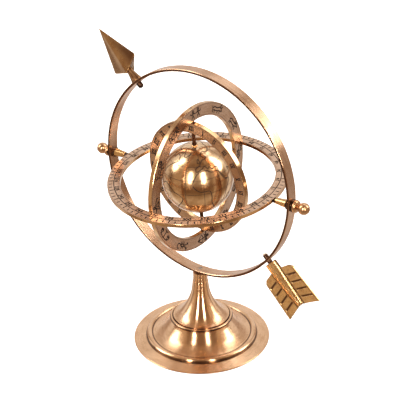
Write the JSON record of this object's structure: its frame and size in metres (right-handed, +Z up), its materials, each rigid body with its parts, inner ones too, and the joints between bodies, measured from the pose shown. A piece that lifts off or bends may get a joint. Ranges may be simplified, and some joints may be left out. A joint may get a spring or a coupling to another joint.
{
  "type": "armillary sphere",
  "caption": "Table armillary sphere: round spun base, upright hoop with an arrow, engraved rings nested as a gimbal and a globe in the middle.",
  "frame": {"origin": "centre of the resting face under the base", "axes": "+Z up; the hoop stands in the XZ plane, arrow head towards -X, viewed from -Y"},
  "size_m": [0.2666, 0.1754, 0.3122],
  "materials": {
    "brass_turned": "antiqued brass, turned with fine concentric lines",
    "brass_cast": "antiqued cast brass, dark in the grooves",
    "brass_strip": "antiqued brass strip, brushed along its length, dark edges",
    "brass_bright": "polished brass",
    "brass_ring": "antiqued brass, satin, with blackened engraving",
    "brass_globe": "antiqued brass, polished, with blackened engraving",
    "dark_nut": "oil-blackened brass",
    "dark_washer": "blackened brass",
    "steel": "plain steel",
    "brass_sleeve": "antiqued copper-toned brass tube",
    "iron": "as cast, painted",
    "felt": "green felt"
  },
  "bodies": {
    "stand": {"base_shell": "brass_turned", "ballast": "iron", "felt_pad": "felt", "tie_rod": "steel", "base_washer": "steel", "base_nut": "steel", "stem": "brass_turned", "saddle_washer": "dark_washer", "meridian_hoop": "brass_strip", "arrow_head": "brass_cast", "arrow_head_nut": "dark_nut", "arrow_tail": "brass_cast", "tail_screw": "steel", "tail_washer": "dark_nut", "tail_nut": "dark_nut", "finial_left": "brass_bright", "finial_right": "brass_bright", "collar_left": "brass_bright", "collar_right": "brass_bright", "outer_washers": "dark_washer", "pivot_pin_left": "steel", "pivot_pin_right": "steel", "pivot_nuts": "dark_nut", "pivot_sleeve_left": "brass_bright", "pivot_sleeve_right": "brass_bright", "ring_washers": "dark_nut"},
    "horizon": {"horizon_ring": "brass_ring"},
    "glyphs": {"glyph_ring": "brass_ring", "transit_pins": "steel", "transit_spacers": "dark_washer"},
    "hours": {"hour_ring": "brass_ring", "pole_pins": "steel", "pole_spacers": "dark_washer", "pole_sleeves": "brass_sleeve"},
    "globe": {"globe_north": "brass_globe", "globe_south": "brass_globe", "globe_bushings": "brass_globe"}
  },
  "joints": [
    {"name": "horizon_pivot", "type": "hinge", "parent": "stand", "child": "horizon", "pos_m": [0, 0, 0.1831], "axis": [1, 0, 0], "continuous": true},
    {"name": "glyph_pivot", "type": "hinge", "parent": "horizon", "child": "glyphs", "pos_m": [0, 0, 0.1831], "axis": [0, 0.9957, 0.0924], "continuous": true},
    {"name": "hour_pivot", "type": "hinge", "parent": "glyphs", "child": "hours", "pos_m": [0, 0, 0.1831], "axis": [-0.0122, -0.0924, 0.9957], "continuous": true},
    {"name": "globe_spin", "type": "hinge", "parent": "hours", "child": "globe", "pos_m": [0, 0, 0.1831], "axis": [-0.0122, -0.0924, 0.9957], "continuous": true}
  ]
}
